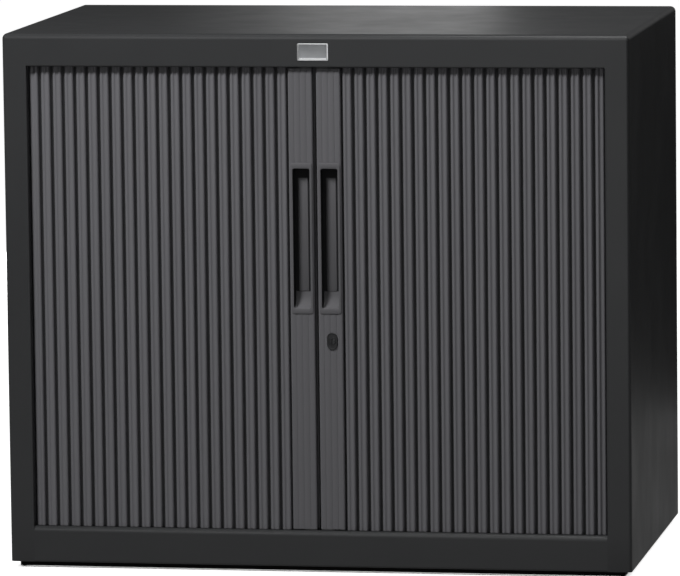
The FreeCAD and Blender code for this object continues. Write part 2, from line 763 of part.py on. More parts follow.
# Lock
def make_lock():
    housing = new_body("lock_housing")
    flank = "(shield_height - shield_width) / 2"
    shield = ("shield_front", "lead_front")
    wide = ("lock_offset - shield_width / 2", "lock_offset + shield_width / 2")
    block(housing, "shield_middle", wide, shield, (f"lock_level - {flank}", f"lock_level + {flank}"))
    drum(housing, "shield_top", "shield_width / 2", "lock_offset", shield, f"lock_level + {flank}")
    drum(housing, "shield_bottom", "shield_width / 2", "lock_offset", shield, f"lock_level - {flank}")
    drum(housing, "barrel", "barrel_radius", "lock_offset", ("lead_front", "barrel_end"), "lock_level")
    bore = ("shield_front", "barrel_end")
    drum(housing, "plug_bore", "plug_radius + plug_play", "lock_offset", bore, "lock_level", cut=True)

    nut = new_body("lock_nut")
    drum(nut, "nut_disc", "lock_nut_radius", "lock_offset", ("lead_back", "barrel_end"), "lock_level")
    thread = ("lead_back", "barrel_end")
    drum(nut, "nut_thread", "barrel_radius + plug_play", "lock_offset", thread, "lock_level", cut=True)

    plug = new_body("lock_plug")
    drum(plug, "plug_rod", "plug_radius", "lock_offset", ("plug_front", "cam_front"), "lock_level")
    slot_wide = ("lock_offset - keyway_width / 2", "lock_offset + keyway_width / 2")
    slot_tall = ("lock_level - keyway_height / 2", "lock_level + keyway_height / 2")
    block(plug, "keyway", slot_wide, ("plug_front", "plug_front + keyway_depth"), slot_tall, cut=True)

    cam = new_body("lock_cam")
    deep = ("cam_front", "cam_back")
    arm = ("lock_offset - cam_trail", "lock_offset + cam_lead")
    block(cam, "arm", arm, deep, ("lock_level - cam_reach", "lock_level"))
    drum(cam, "cam_eye", "cam_heel", "lock_offset", deep, "lock_level")
    barb = ("lock_offset - barb_rise", "lock_offset")
    block(cam, "barb", barb, deep, ("lock_level - cam_reach", "lock_level - cam_reach + barb_width"))

    screw = new_body("cam_screw")
    head = ("cam_back", "cam_back + cam_screw_head")
    drum(screw, "cam_screw_head_disc", "cam_screw_radius", "lock_offset", head, "lock_level")


def make_keeper():
    plate = new_body("keeper_plate")
    wide = across("left", "lead_inner", "lead_inner + keeper_width")
    tall = ("keeper_bottom", "keeper_bottom + keeper_height")
    block(plate, "keeper_sheet", wide, ("lead_back", "keeper_back"), tall)
    pin = ("keeper_back", "keeper_back + keeper_pin_length")
    pin_level = "lock_level + keeper_pin_rise"
    drum(plate, "keeper_pin_rod", "keeper_pin_radius", "-(keeper_pin)", pin, pin_level)
    screws = new_body("keeper_screws")
    level = "keeper_bottom + keeper_height - keeper_screw_radius * 2"
    head = ("keeper_back", "keeper_back + keeper_screw_head")
    for share in (0.3, 0.8):
        spot = f"-(lead_inner + keeper_width * {share})"
        drum(screws, f"keeper_head_{int(share * 10)}", "keeper_screw_radius", spot, head, level)


make_top_panel()
for hand in hands:
    make_side_panel(hand)
make_bottom_rail()
make_base_panel()
make_ceiling_panel()
make_back_panel()
for hand in hands:
    make_liner(hand)
    make_track("top", hand)
    make_track("bottom", hand)
for name, row in shelf_rows.items():
    make_shelf(name, row)
make_shelf_clips()
make_plinth()
make_feet()
make_badge()
make_screws()
make_stop_buffers()
for hand in hands:
    make_lead_rail(hand)
    make_handle(hand)
    make_glides(hand)
    make_slats(hand)
make_lock()
make_keeper()

doc.recompute()

for item in doc.Objects:
    if "Invalid" in item.State or "Error" in item.State:
        raise RuntimeError(f"{item.Name} did not build")

os.makedirs("parts", exist_ok=True)
for node in nodes:
    if node.Shape.isNull() or not node.Shape.isValid():
        raise RuntimeError(f"{node.Label} has no valid shape")
    node.Shape.exportStep(f"parts/{node.Label}.step")
    print(f"{node.Label}: {len(node.Shape.Solids)} solids, {node.Shape.Volume:.0f} mm3")
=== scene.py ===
import math

import bmesh
import bpy
from mathutils import Matrix, Vector


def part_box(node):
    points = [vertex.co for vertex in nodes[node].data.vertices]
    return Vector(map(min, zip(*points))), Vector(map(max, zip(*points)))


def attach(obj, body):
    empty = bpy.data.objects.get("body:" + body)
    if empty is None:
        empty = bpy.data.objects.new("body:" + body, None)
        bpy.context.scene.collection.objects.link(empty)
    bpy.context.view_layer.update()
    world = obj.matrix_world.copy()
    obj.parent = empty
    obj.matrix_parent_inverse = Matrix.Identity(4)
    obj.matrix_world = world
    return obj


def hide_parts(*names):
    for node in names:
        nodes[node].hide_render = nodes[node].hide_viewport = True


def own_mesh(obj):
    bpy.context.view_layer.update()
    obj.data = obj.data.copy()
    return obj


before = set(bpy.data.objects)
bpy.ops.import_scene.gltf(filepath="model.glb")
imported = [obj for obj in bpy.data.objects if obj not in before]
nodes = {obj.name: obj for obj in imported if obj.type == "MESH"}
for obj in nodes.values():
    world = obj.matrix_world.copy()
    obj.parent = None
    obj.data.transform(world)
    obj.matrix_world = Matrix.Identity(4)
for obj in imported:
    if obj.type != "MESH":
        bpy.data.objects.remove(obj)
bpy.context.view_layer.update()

# Roll front tool cabinet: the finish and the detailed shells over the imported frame.
# Metres. X runs to the right, Y to the back, Z up. The origin is on the floor under the middle.

MM = 0.001


def low(node):
    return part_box(node)[0]


def high(node):
    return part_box(node)[1]


# Places read from the frame
HALF = high("side_panel_right").x
FRONT = low("side_panel_right").y
REAR = high("side_panel_right").y
BOTTOM = low("side_panel_right").z
TOP = high("top_panel").z
OPENING_LOW = high("bottom_rail").z
OPENING_HIGH = low("top_panel").z
JAMB = high("bottom_rail").x
LIP_BACK = low("track_top_right").y
SLAT_FRONT = low("slats_right").y
LEAD_LOW = low("lead_rail_right")
LEAD_HIGH = high("lead_rail_right")
HANDLE_LOW = low("handle_right")
HANDLE_HIGH = high("handle_right")

HANDS = {"left": -1, "right": 1}

# The sheet metal: its bends at the top, at the stiles and at the lips, and its flanges
GAUGE = 1.2 * MM
BEND = 7 * MM
SIDE_BEND = 4 * MM
SMALL_BEND = 2.2 * MM
LIP_BEND = 1.4 * MM
STILE_FOOT = 0.8 * MM
FLANGE = 20 * MM
REAR_FLANGE = 14 * MM
# A short flat beside each bend keeps the shading of the wall next to it even
SUPPORT = 0.3 * MM
# The smallest corner radius, and the gap at each end of a curtain
CLEAR = 0.2 * MM

# The curtains, their channels and the lead rails
SLATS = 22
TAIL_SLATS = 5
SLAT_THICK = 6 * MM
CURTAIN_GAP = 0.4 * MM
TRACK_RADIUS = 40 * MM
TRACK_HALF = 5.4 * MM
CLOSING_LIP = 6 * MM
LEAD_INNER = 2.2 * MM
LEAD_OUTER = LEAD_INNER + 31.5 * MM
LEAD_FRONT = LEAD_LOW.y
LEAD_BACK = LEAD_FRONT + 15 * MM
LUG_WIDTH = 9.7 * MM
LUG_HEIGHT = 30 * MM
LUG_INSET = 66 * MM

# The handle cups, with the ramp at the lower end and the finger pad on the floor
RECESS_WIDTH = 21.7 * MM
RECESS_HEIGHT = 177.3 * MM
RECESS_DEPTH = 12.4 * MM
WINDOW_GAP = 1.3 * MM
RAMP_DEEP = 11 * MM
RAMP_TALL = 20 * MM
# The faces of each ring that make up the ramp
RAMP = slice(3, 8)


# Node graphs

def new_material(name):
    material = bpy.data.materials.new(name)
    material.use_nodes = True
    tree = material.node_tree
    shader = next(node for node in tree.nodes if node.type == "BSDF_PRINCIPLED")
    return material, tree, shader


def add(tree, kind, **values):
    node = tree.nodes.new(kind)
    for key, value in values.items():
        if hasattr(node, key):
            setattr(node, key, value)
        else:
            node.inputs[key].default_value = value
    return node


def place(tree, scale):
    """The object's own coordinates, stretched by the three scales."""
    coordinates = add(tree, "ShaderNodeTexCoord")
    mapping = add(tree, "ShaderNodeMapping")
    mapping.inputs["Scale"].default_value = scale
    tree.links.new(coordinates.outputs["Object"], mapping.inputs["Vector"])
    return mapping.outputs["Vector"]


def noise(tree, vector, size, detail=2.0):
    node = add(tree, "ShaderNodeTexNoise", Scale=size, Detail=detail)
    tree.links.new(vector, node.inputs["Vector"])
    return node.outputs["Fac"]


def spread(tree, value, low_value, high_value):
    """Maps the middle of a noise to a range."""
    node = add(tree, "ShaderNodeMapRange")
    node.inputs["From Min"].default_value = 0.3
    node.inputs["From Max"].default_value = 0.7
    node.inputs["To Min"].default_value = low_value
    node.inputs["To Max"].default_value = high_value
    tree.links.new(value, node.inputs["Value"])
    return node.outputs["Result"]


def tint(tree, shader, color, amount, value):
    """Varies a colour a little with a noise."""
    mix = add(tree, "ShaderNodeMix", data_type="RGBA")
    mix.inputs["A"].default_value = [channel * (1 - amount) for channel in color] + [1]
    mix.inputs["B"].default_value = [channel * (1 + amount) for channel in color] + [1]
    tree.links.new(value, mix.inputs["Factor"])
    tree.links.new(mix.outputs["Result"], shader.inputs["Base Color"])


def bump(tree, shader, height, strength, distance):
    node = add(tree, "ShaderNodeBump")
    node.inputs["Strength"].default_value = strength
    node.inputs["Distance"].default_value = distance
    tree.links.new(height, node.inputs["Height"])
    tree.links.new(node.outputs["Normal"], shader.inputs["Normal"])


def powder_coat(name, color, roughness, specular):
    """Baked powder paint: fine orange peel, faint mottling and a little uneven gloss."""
    material, tree, shader = new_material(name)
    fine = noise(tree, place(tree, (1, 1, 1)), 950, 2)
    broad = noise(tree, place(tree, (1, 1, 1)), 7, 3)
    tint(tree, shader, color, 0.07, broad)
    smudge = noise(tree, place(tree, (1, 1, 0.5)), 16, 4)
    tree.links.new(spread(tree, smudge, roughness - 0.03, roughness + 0.04), shader.inputs["Roughness"])
    bump(tree, shader, fine, 0.22, 0.06 * MM)
    shader.inputs["Specular IOR Level"].default_value = specular
    return material


def extruded_plastic(name, color, roughness=0.4, specular=0.5):
    """Extruded strip: long faint draw lines up the length and a small change from strip to strip."""
    material, tree, shader = new_material(name)
    lines = noise(tree, place(tree, (1, 1, 0.004)), 2600, 2)
    strips = noise(tree, place(tree, (1, 0.2, 0.02)), 40, 2)
    tint(tree, shader, color, 0.08, strips)
    dust = noise(tree, place(tree, (1, 1, 0.25)), 30, 5)
    tree.links.new(spread(tree, dust, roughness - 0.04, roughness + 0.06), shader.inputs["Roughness"])
    bump(tree, shader, lines, 0.16, 0.05 * MM)
    shader.inputs["Specular IOR Level"].default_value = specular
    return material


def moulded_plastic(name, color, roughness=0.45, specular=0.5):
    """Moulded plastic with a fine spark-eroded grain."""
    material, tree, shader = new_material(name)
    fine = noise(tree, place(tree, (1, 1, 1)), 1500, 3)
    broad = noise(tree, place(tree, (1, 1, 1)), 25, 2)
    tint(tree, shader, color, 0.06, broad)
    tree.links.new(spread(tree, fine, roughness - 0.04, roughness + 0.05), shader.inputs["Roughness"])
    bump(tree, shader, fine, 0.25, 0.05 * MM)
    shader.inputs["Specular IOR Level"].default_value = specular
    return material


def plated_steel(name, color, roughness=0.35, stretch=(1, 1, 1)):
    """Plated or brushed metal with fine lines along the least stretched axis."""
    material, tree, shader = new_material(name)
    lines = noise(tree, place(tree, stretch), 1400, 3)
    cloud = noise(tree, place(tree, (1, 1, 1)), 60, 3)
    tint(tree, shader, color, 0.1, cloud)
    tree.links.new(spread(tree, lines, roughness - 0.06, roughness + 0.08), shader.inputs["Roughness"])
    bump(tree, shader, lines, 0.15, 0.03 * MM)
    shader.inputs["Metallic"].default_value = 1.0
    return material


def soft_rubber(name, color):
    material, tree, shader = new_material(name)
    fine = noise(tree, place(tree, (1, 1, 1)), 700, 4)
    tint(tree, shader, color, 0.15, fine)
    tree.links.new(spread(tree, fine, 0.7, 0.85), shader.inputs["Roughness"])
    bump(tree, shader, fine, 0.3, 0.08 * MM)
    return material


PAINT = powder_coat("cabinet_paint", (0.0205, 0.0211, 0.022), roughness=0.38, specular=0.3)
INNER_PAINT = powder_coat("inside_paint", (0.03, 0.031, 0.033), roughness=0.4, specular=0.3)
SLAT = extruded_plastic("slat_plastic", (0.1, 0.099, 0.106), specular=0.25)
# Near black for the grooves between the slats: the hinge strip painted as the shade deep in each groove
GROOVE_SHADE = extruded_plastic("groove_painted_shade", (0.012, 0.012, 0.013), roughness=0.6, specular=0.2)
LEAD = extruded_plastic("lead_rail_plastic", (0.09, 0.089, 0.095), specular=0.2)
HANDLE = moulded_plastic("handle_plastic", (0.08, 0.079, 0.084), specular=0.2)
# Near black for the cup's walls and the channel round the finger pad: painted shade for the shadow at the
# cup's top and left side
CUP_SHADE = moulded_plastic("handle_cup_painted_shade", (0.014, 0.014, 0.015), roughness=0.6, specular=0.05)
FINGER_PAD = moulded_plastic("finger_pad_plastic", (0.085, 0.084, 0.089), specular=0.1)
TRACK = extruded_plastic("track_plastic", (0.02, 0.02, 0.021), roughness=0.5)
GLIDE = moulded_plastic("glide_plastic", (0.035, 0.035, 0.036), roughness=0.4)
# Near black with almost no gloss: the recessed plinth painted as the shadow gap under the carcass
PLINTH_SHADE = moulded_plastic("plinth_plastic", (0.004, 0.004, 0.004), roughness=0.6, specular=0.05)
FOOT = moulded_plastic("foot_plastic", (0.012, 0.012, 0.012), roughness=0.55)
ZINC = plated_steel("zinc_plate", (0.52, 0.53, 0.55))
BLACK_STEEL = plated_steel("black_steel", (0.05, 0.05, 0.052), roughness=0.4)
BADGE = plated_steel("badge_metal", (0.62, 0.63, 0.64), roughness=0.32, stretch=(0.03, 1, 1))
BADGE_FIELD = plated_steel("badge_field_metal", (0.27, 0.278, 0.286), roughness=0.42, stretch=(0.03, 1, 1))
RUBBER = soft_rubber("buffer_rubber", (0.014, 0.014, 0.014))
LOCK_BLACK = moulded_plastic("lock_black", (0.016, 0.016, 0.017), roughness=0.4, specular=0.25)
LOCK_STEEL = plated_steel("lock_steel", (0.045, 0.045, 0.047), roughness=0.42)


# Mesh helpers

def smooth_by_angle(mesh_data, limit=math.radians(32)):
    """Smooth shading with the sharp folds kept."""
    for edge in mesh_data.edges:
        wide = len(edge.link_faces) == 2 and edge.calc_face_angle(0) > limit
        edge.smooth = not (wide or len(edge.link_faces) != 2)
    for face in mesh_data.faces:
        face.smooth = True


def make_piece(name, mesh_data, materials, body, slot, *replaced):
    """Turns a bmesh into a piece that rides on a body and stands for its nodes."""
    bmesh.ops.remove_doubles(mesh_data, verts=mesh_data.verts, dist=1e-7)
    bmesh.ops.recalc_face_normals(mesh_data, faces=mesh_data.faces)
    smooth_by_angle(mesh_data)
    mesh = bpy.data.meshes.new(name)
    mesh_data.to_mesh(mesh)
    mesh_data.free()
    for material in materials:
        mesh.materials.append(material)
    piece = bpy.data.objects.new(name, mesh)
    bpy.context.scene.collection.objects.link(piece)
    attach(piece, body)
    if replaced:
        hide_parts(*replaced)
    return piece


def loop_of(mesh_data, points):
    return [mesh_data.verts.new(point) for point in points]


def bridge(mesh_data, first, second, material=0):
    """Quads between two closed loops of as many points."""
    count = len(first)
    for index in range(count):
        after = (index + 1) % count
        corners = (first[index], first[after], second[after], second[index])
        face = mesh_data.faces.new(corners)
        face.material_index = material[index] if isinstance(material, list) else material


def cap(mesh_data, ring, material=0):
    face = mesh_data.faces.new(ring)
    face.material_index = material


def loft(mesh_data, loops, material=0, close_start=True, close_end=True):
    """A skin through the loops, closed at its ends."""
    rings = [loop_of(mesh_data, points) for points in loops]
    for first, second in zip(rings, rings[1:]):
        bridge(mesh_data, first, second, material)
    end_material = 0 if isinstance(material, list) else material
    if close_start:
        cap(mesh_data, rings[0][::-1], end_material)
    if close_end:
        cap(mesh_data, rings[-1], end_material)


def along(axis, outline, place_on_axis):
    """Puts a flat outline at a place on an axis."""
    if axis == "x":
        return [(place_on_axis, first, second) for first, second in outline]
    if axis == "y":
        return [(first, place_on_axis, second) for first, second in outline]
    return [(first, second, place_on_axis) for first, second in outline]


def soft_box(mesh_data, low_corner, high_corner, radius):
    """A box with rounded edges."""
    size = Vector(high_corner) - Vector(low_corner)
    middle = (Vector(high_corner) + Vector(low_corner)) / 2
    matrix = Matrix.Translation(middle) @ Matrix.Diagonal((*size, 1))
    made = bmesh.ops.create_cube(mesh_data, size=1, matrix=matrix)
    edges = list({edge for vert in made["verts"] for edge in vert.link_edges})
    bmesh.ops.bevel(mesh_data, geom=edges, offset=radius, segments=3, profile=0.5, affect="EDGES")


def arc(centre, radius, start, end, steps=6):
    """Points on an arc, with its angles in degrees."""
    angles = [math.radians(start + (end - start) * step / steps) for step in range(steps + 1)]
    return [(centre[0] + radius * math.cos(angle), centre[1] + radius * math.sin(angle)) for angle in angles]


def folded(points, radii):
    """The closed outline of a folded sheet. The points are its middle line and the radii are at its bends."""
    steps = 6
    line = []
    for index, point in enumerate(points):
        here = Vector(point)
        if index == 0:
            line.append((here, (Vector(points[1]) - here).normalized()))
            continue
        if index == len(points) - 1:
            line.append((here, (here - Vector(points[index - 1])).normalized()))
            continue
        entry = (here - Vector(points[index - 1])).normalized()
        leave = (Vector(points[index + 1]) - here).normalized()
        turn = entry.angle_signed(leave)
        radius = radii[index - 1]
        back_off = radius * math.tan(abs(turn) / 2)
        side = Vector((entry.y, -entry.x)) * (1 if turn > 0 else -1)
        centre = here - entry * back_off + side * radius
        line.append((here - entry * (back_off + SUPPORT), entry))
        for step in range(steps + 1):
            spin = Matrix.Rotation(-turn * step / steps, 2)
            line.append((centre + spin @ (-side * radius), (spin @ entry).normalized()))
        line.append((here + leave * (back_off + SUPPORT), leave))
    half = GAUGE / 2
    left = [(p.x - d.y * half, p.y + d.x * half) for p, d in line]
    right = [(p.x + d.y * half, p.y - d.x * half) for p, d in line]
    return left + right[::-1]


def rounded_rectangle(low_corner, high_corner, radius, steps=5, far_radius=None):
    """A closed outline, anticlockwise from its lower left. far_radius is for its upper corners."""
    x0, z0 = low_corner
    x1, z1 = high_corner
    far = radius if far_radius is None else far_radius
    corners = (
        (x0 + radius, z0 + radius, radius, 180),
        (x1 - radius, z0 + radius, radius, 270),
        (x1 - far, z1 - far, far, 0),
        (x0 + far, z1 - far, far, 90),
    )
    return [point for x, z, r, start in corners for point in arc((x, z), r, start, start + 90, steps)]


def mirrored(hand, outline):
    return [(HANDS[hand] * first, second) for first, second in outline]


def spun(centre, reaches):
    """A closed outline round a centre, from its distances at even turns."""
    count = len(reaches)
    turns = [math.tau * index / count for index in range(count)]
    return [
        (centre[0] + reach * math.cos(turn), centre[1] + reach * math.sin(turn))
        for reach, turn in zip(reaches, turns)
    ]


# Carcass

def make_lid():
    """The top sheet with a rounded fold on all four sides, and the top rail under its front."""
    mesh_data = bmesh.new()
    skirt = TOP - BEND - SUPPORT
    levels = [(BEND + SUPPORT, TOP)]
    for step in range(9):
        angle = math.radians(90 * step / 8)
        levels.append((BEND * (1 - math.sin(angle)), TOP - BEND * (1 - math.cos(angle))))
    levels += [(0, skirt), (GAUGE, skirt), (GAUGE, TOP - BEND), (BEND, TOP - GAUGE)]
    loops = []
    for inset, spot in levels:
        corner = max(SIDE_BEND - inset, CLEAR)
        ends = ((-HALF + inset, FRONT + inset), (HALF - inset, REAR - inset))
        loops.append(along("z", rounded_rectangle(*ends, corner, 8, CLEAR), spot))
    loft(mesh_data, loops)
    middle = GAUGE / 2
    rail = folded(
        [
            (LIP_BACK, OPENING_HIGH + middle),
            (FRONT + middle, OPENING_HIGH + middle),
            (FRONT + middle, skirt),
        ],
        [SMALL_BEND - middle],
    )
    loft(mesh_data, [along("x", rail, -JAMB), along("x", rail, JAMB)])
    flange_low = TOP - FLANGE
    inner = HALF - GAUGE
    soft_box(mesh_data, (-inner, REAR - GAUGE, flange_low), (inner, REAR, skirt), SUPPORT)
    rear_gap = 3 * MM
    for sign in HANDS.values():
        near, far = sorted((sign * inner, sign * (inner - GAUGE)))
        flange = ((near, FRONT + SIDE_BEND, flange_low), (far, REAR - rear_gap, skirt))
        soft_box(mesh_data, *flange, SUPPORT)
    make_piece("lid_shell", mesh_data, [PAINT], "carcass", "carcass_paint", "top_panel")


def make_side_shell(hand):
    """A wall folded round as a stile. Its jamb lip only runs up the opening."""
    mesh_data = bmesh.new()
    middle = GAUGE / 2
    top = TOP - BEND - SUPPORT
    wall = HALF - middle
    front = FRONT + middle

    def placed(outline, spot):
        return along("z", mirrored(hand, outline), spot)

    def plain(inset):
        bend = max(SIDE_BEND - middle - inset, CLEAR)
        return folded([(JAMB, front + inset), (wall - inset, front + inset), (wall - inset, REAR)], [bend])

    lower = []
    for step in range(5):
        angle = math.radians(90 * step / 4)
        inset = STILE_FOOT * (1 - math.sin(angle))
        lower.append(placed(plain(inset), BOTTOM + STILE_FOOT * (1 - math.cos(angle))))
    loft(mesh_data, lower + [placed(plain(0), OPENING_LOW)])
    jamb = folded(
        [(JAMB + middle, LEAD_FRONT), (JAMB + middle, front), (wall, front), (wall, REAR)],
        [LIP_BEND, SIDE_BEND - middle],
    )
    loft(mesh_data, [placed(jamb, OPENING_LOW), placed(jamb, OPENING_HIGH)])
    loft(mesh_data, [placed(plain(0), OPENING_HIGH), placed(plain(0), top)])
    sign = HANDS[hand]
    inner = HALF - GAUGE

    def strip(near, far, deep_low, deep_high, floor, roof):
        edges = sorted((sign * near, sign * far))
        soft_box(mesh_data, (edges[0], deep_low, floor), (edges[1], deep_high, roof), SUPPORT)

    strip(HALF - FLANGE, inner, FRONT + SIDE_BEND, high("back_panel").y, BOTTOM, BOTTOM + GAUGE)
    back = low("back_panel").y
    strip(inner - REAR_FLANGE, inner, back - GAUGE, back, BOTTOM + GAUGE, TOP - FLANGE)
    make_piece(f"side_shell_{hand}", mesh_data, [PAINT], "carcass", "carcass_paint", f"side_panel_{hand}")


def make_bottom_rail():
    mesh_data = bmesh.new()
    middle = GAUGE / 2
    outline = folded(
        [
            (LIP_BACK, OPENING_LOW - middle),
            (FRONT + middle, OPENING_LOW - middle),
            (FRONT + middle, BOTTOM + middle),
            (FRONT + FLANGE, BOTTOM + middle),
        ],
        [BEND - middle, SMALL_BEND - middle],
    )
    loft(mesh_data, [along("x", outline, -JAMB), along("x", outline, JAMB)])
    make_piece("bottom_rail_shell", mesh_data, [PAINT], "carcass", "carcass_paint", "bottom_rail")


def make_badge():
    """A blank plate: a raised border with a rolled edge round a brushed field."""
    mesh_data = bmesh.new()
    box_low, box_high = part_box("badge_plate")
    front = box_low.y
    # Inset at the sides, at the bottom and at the top, depth of the loop and its corner radius
    levels = (
        (0, 0, 0, box_high.y, 1.8 * MM),
        (0, 0, 0, front + 0.7 * MM, 1.8 * MM),
        (0.1 * MM, 0.1 * MM, 0.05 * MM, front + 0.4 * MM, 1.7 * MM),
        (0.3 * MM, 0.3 * MM, 0.12 * MM, front + 0.1 * MM, 1.6 * MM),
        (0.7 * MM, 0.7 * MM, 0.3 * MM, front, 1.5 * MM),
        (2.2 * MM, 1.1 * MM, 1.2 * MM, front, 1.1 * MM),
        (2.9 * MM, 3.7 * MM, 1.7 * MM, front + 0.72 * MM, 0.8 * MM),
    )
    loops = []
    for side, bottom, top, depth, radius in levels:
        ends = ((box_low.x + side, box_low.z + bottom), (box_high.x - side, box_high.z - top))
        loops.append(along("y", rounded_rectangle(*ends, radius), depth))
    rings = [loop_of(mesh_data, points) for points in loops]
    for first, second in zip(rings, rings[1:]):
        bridge(mesh_data, first, second, 0)
    cap(mesh_data, rings[0][::-1], 0)
    cap(mesh_data, rings[-1], 1)
    make_piece("badge_blank", mesh_data, [BADGE, BADGE_FIELD], "carcass", "badge_metal", "badge_plate")


# Curtain doors

def curtain_path(distance):
    """The point on the channel's middle line and the way it runs, for a distance past the middle."""
    side_line = HALF - GAUGE - TRACK_HALF
    turn_x = side_line - TRACK_RADIUS
    line_y = SLAT_FRONT + SLAT_THICK / 2
    turn_y = line_y + TRACK_RADIUS
    past = distance - turn_x
    if past <= 0:
        return Vector((distance, line_y)), Vector((1, 0))
    angle = past / TRACK_RADIUS
    if angle < math.pi / 2:
        spot = Vector((turn_x + TRACK_RADIUS * math.sin(angle), turn_y - TRACK_RADIUS * math.cos(angle)))
        return spot, Vector((math.cos(angle), math.sin(angle)))
    return Vector((side_line, turn_y + past - TRACK_RADIUS * math.pi / 2)), Vector((0, 1))


# One slat from its middle outward, in millimetres: distance and depth under its two beads
CROWN = (
    (0, 1.1), (0.7, 1.02), (1.4, 0.72), (2.0, 0.36), (2.5, 0.12), (3.0, 0), (3.5, 0.03), (4.1, 0.22),
    (4.7, 0.62), (5.2, 1.15), (5.6, 1.8), (5.9, 2.6),
)


def make_curtain(hand):
    """A ribbed band: crowned slats with a shallow middle, and grooves between them whose hinge faces are
    painted near black as the shade in the grooves.
    """
    pitch = (JAMB - LEAD_OUTER) / SLATS
    half = pitch / 2
    groove_half = 1.35 * MM
    groove = 4.4 * MM
    back_groove = 5.2 * MM
    chamfer = 1.2 * MM
    crown = [(-across, depth) for across, depth in CROWN[:0:-1]] + list(CROWN)
    count = SLATS + TAIL_SLATS
    # Distance along the curtain, depth in it, and 1 where the face up to the next point is groove, painted
    # near black as shade
    points = []
    for index in range(count):
        middle = LEAD_OUTER + pitch * (index + 0.5)
        points += [(middle - half, groove, 1), (middle - half + groove_half, groove, 0)]
        points += [(middle + across * MM, depth * MM, 0) for across, depth in crown]
        points.append((middle + half - groove_half, groove, 1))
    points.append((LEAD_OUTER + pitch * count, groove, 1))
    for index in range(count, 0, -1):
        edge = LEAD_OUTER + pitch * index
        points += [(edge, back_groove, 0), (edge - chamfer, SLAT_THICK, 0)]
        points.append((edge - pitch + chamfer, SLAT_THICK, 0))
    points.append((LEAD_OUTER, back_groove, 0))
    outline = []
    for distance, depth, dark in points:
        spot, way = curtain_path(distance + CURTAIN_GAP)
        inward = Vector((-way.y, way.x))
        here = spot + inward * (depth - SLAT_THICK / 2)
        outline.append((HANDS[hand] * here.x, here.y))
    materials = [dark for distance, depth, dark in points]
    mesh_data = bmesh.new()
    steps = 4
    floor, roof = OPENING_LOW + CLEAR, OPENING_HIGH - CLEAR
    loops = [along("z", outline, floor + (roof - floor) * step / steps) for step in range(steps + 1)]
    loft(mesh_data, loops, materials)
    door = f"{hand}_door"
    curtain = make_piece(f"curtain_{hand}", mesh_data, [SLAT, GROOVE_SHADE], door, "slat_plastic", f"slats_{hand}")
    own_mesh(curtain)


# One flute of a lead rail's front: distance from its middle and depth, in millimetres
FLUTE = ((-1.5, 0), (-1.1, 0.12), (-0.55, 0.36), (0, 0.42), (0.55, 0.36), (1.1, 0.12), (1.5, 0))


def lead_outline(near, far):
    """Plan of the lead rail between two places: rounded front corners, flutes and the closing lip."""
    radius = 2.4 * MM
    points = []
    if near == LEAD_INNER:
        points += [(0.5 * MM, LEAD_BACK), (0.5 * MM, LEAD_BACK - CLOSING_LIP)]
        points += [(LEAD_INNER, LEAD_BACK - CLOSING_LIP), (LEAD_INNER, LEAD_FRONT + radius + SUPPORT)]
        points += arc((LEAD_INNER + radius, LEAD_FRONT + radius), radius, 180, 270)
        points.append((LEAD_INNER + radius + SUPPORT, LEAD_FRONT))
    else:
        points += [(near, LEAD_BACK), (near, LEAD_FRONT)]
    if near == LEAD_INNER and far == LEAD_OUTER:
        for share in (0.25, 0.5, 0.75):
            middle = near + (far - near) * share
            points += [(middle + across * MM, LEAD_FRONT + depth * MM) for across, depth in FLUTE]
    if far == LEAD_OUTER:
        points.append((LEAD_OUTER - radius - SUPPORT, LEAD_FRONT))
        points += arc((LEAD_OUTER - radius, LEAD_FRONT + radius), radius, 270, 360)
        points += [(LEAD_OUTER, LEAD_FRONT + radius + SUPPORT), (LEAD_OUTER, LEAD_BACK)]
    else:
        points += [(far, LEAD_FRONT), (far, LEAD_BACK)]
    return points


def make_lead_rail(hand):
    mesh_data = bmesh.new()
    middle = (LEAD_INNER + LEAD_OUTER) / 2
    half_window = RECESS_WIDTH / 2 + WINDOW_GAP
    recess_middle = (HANDLE_LOW.z + HANDLE_HIGH.z) / 2
    window_low = recess_middle - RECESS_HEIGHT / 2 - WINDOW_GAP
    window_high = recess_middle + RECESS_HEIGHT / 2 + WINDOW_GAP
    spans = (
        (LEAD_INNER, LEAD_OUTER, LEAD_LOW.z, window_low),
        (LEAD_INNER, middle - half_window, window_low, window_high),
        (middle + half_window, LEAD_OUTER, window_low, window_high),
        (LEAD_INNER, LEAD_OUTER, window_high, LEAD_HIGH.z),
    )
    for near, far, floor, roof in spans:
        outline = mirrored(hand, lead_outline(near, far))
        loft(mesh_data, [along("z", outline, floor), along("z", outline, roof)])
    sign = HANDS[hand]
    near, far = sorted((sign * (LEAD_OUTER - LUG_WIDTH), sign * LEAD_OUTER))
    for floor in (LEAD_LOW.z + LUG_INSET, LEAD_HIGH.z - LUG_INSET - LUG_HEIGHT):
        soft_box(mesh_data, (near, LEAD_BACK, floor), (far, LEAD_HIGH.y, floor + LUG_HEIGHT), 0.8 * MM)
    door = f"{hand}_door"
    make_piece(f"lead_rail_shell_{hand}", mesh_data, [LEAD], door, "lead_rail_finish", f"lead_rail_{hand}")


